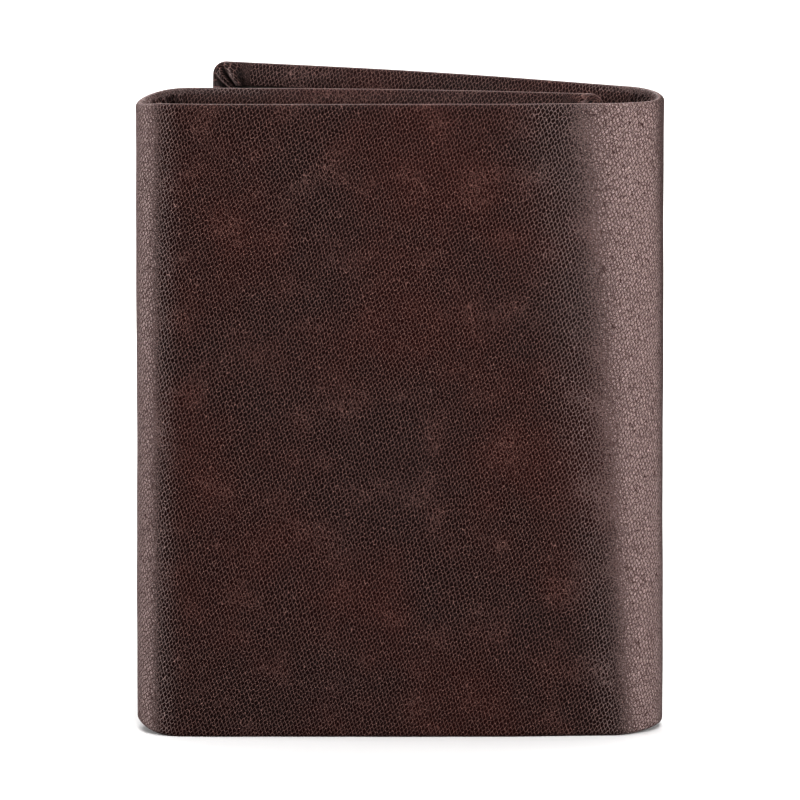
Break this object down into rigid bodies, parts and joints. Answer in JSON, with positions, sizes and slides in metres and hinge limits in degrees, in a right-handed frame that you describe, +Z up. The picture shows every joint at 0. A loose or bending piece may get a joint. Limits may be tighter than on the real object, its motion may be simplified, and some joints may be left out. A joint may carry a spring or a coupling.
{
  "type": "trifold wallet",
  "caption": "Closed trifold leather wallet with turned-over edges, two folding flaps, stepped card pockets, an identity-card window and a full-length bill compartment.",
  "frame": {"origin": "middle of the bounding box's base, where the closed wallet stands on its bottom edges", "axes": "+X along the centre panel towards the outer flap's fold, +Y from the centre panel's outer face towards the folded flaps, +Z up along the folds"},
  "size_m": [0.083, 0.0384, 0.1016],
  "materials": {
    "outer_leather": "espresso brown pebbled leather, soft satin sheen, lighter crease lines",
    "pocket_leather": "smoother dark brown lining leather",
    "interior_leather": "thin dark brown lining leather",
    "lining_fabric": "plain-woven dark lining cloth",
    "board": "raw bonded board, hidden between leather and hem",
    "thread": "dark brown polyester sewing thread",
    "clear_film": "thin clear flexible plastic film"
  },
  "bodies": {
    "centre_panel": {"centre_shell": "outer_leather", "centre_stiffener": "board", "centre_lining": "lining_fabric", "centre_interior_panel": "interior_leather", "centre_stitching": "thread", "centre_pocket_fabric_1": "lining_fabric", "centre_card_pocket_1": "pocket_leather", "centre_pocket_fabric_2": "lining_fabric", "centre_card_pocket_2": "pocket_leather", "centre_pocket_fabric_3": "lining_fabric", "centre_card_pocket_3": "pocket_leather"},
    "right_spine": {"right_fold_leather": "outer_leather", "right_fold_lining": "lining_fabric", "right_fold_gusset": "interior_leather"},
    "outer_flap": {"outer_flap_shell": "outer_leather", "outer_flap_stiffener": "board", "outer_flap_lining": "lining_fabric", "outer_flap_interior_panel": "interior_leather", "outer_flap_stitching": "thread", "outer_flap_pocket_fabric_1": "lining_fabric", "outer_flap_card_pocket_1": "pocket_leather", "outer_flap_pocket_fabric_2": "lining_fabric", "outer_flap_card_pocket_2": "pocket_leather", "outer_flap_pocket_fabric_3": "lining_fabric", "outer_flap_card_pocket_3": "pocket_leather"},
    "left_spine": {"left_fold_leather": "outer_leather", "left_fold_lining": "lining_fabric", "left_fold_gusset": "interior_leather"},
    "inner_flap": {"inner_flap_shell": "outer_leather", "inner_flap_stiffener": "board", "inner_flap_lining": "lining_fabric", "inner_flap_interior_panel": "interior_leather", "inner_flap_slip_pocket": "pocket_leather", "id_window_film": "clear_film", "id_window_frame": "pocket_leather", "inner_flap_stitching": "thread"}
  },
  "joints": [
    {"name": "right_spine_fold", "type": "hinge", "parent": "centre_panel", "child": "right_spine", "pos_m": [0.03899, -0.01772, 0.0508], "axis": [0, 0, -1], "range_deg": [0, 80.75]},
    {"name": "outer_flap_fold", "type": "hinge", "parent": "right_spine", "child": "outer_flap", "pos_m": [0.04091, -0.0059, 0.0508], "axis": [0, 0, -1], "range_deg": [0, 80.75]},
    {"name": "left_spine_fold", "type": "hinge", "parent": "centre_panel", "child": "left_spine", "pos_m": [-0.04011, -0.01778, 0.0508], "axis": [0, 0, 1], "range_deg": [0, 90]},
    {"name": "inner_flap_fold", "type": "hinge", "parent": "left_spine", "child": "inner_flap", "pos_m": [-0.03942, -0.00546, 0.0508], "axis": [0, 0, 1], "range_deg": [0, 94.5]}
  ],
  "couplings": [
    {"joint": "outer_flap_fold", "follows": "right_spine_fold", "ratio": 1},
    {"joint": "left_spine_fold", "follows": "right_spine_fold", "ratio": 0.25},
    {"joint": "inner_flap_fold", "follows": "right_spine_fold", "ratio": 0.25}
  ]
}
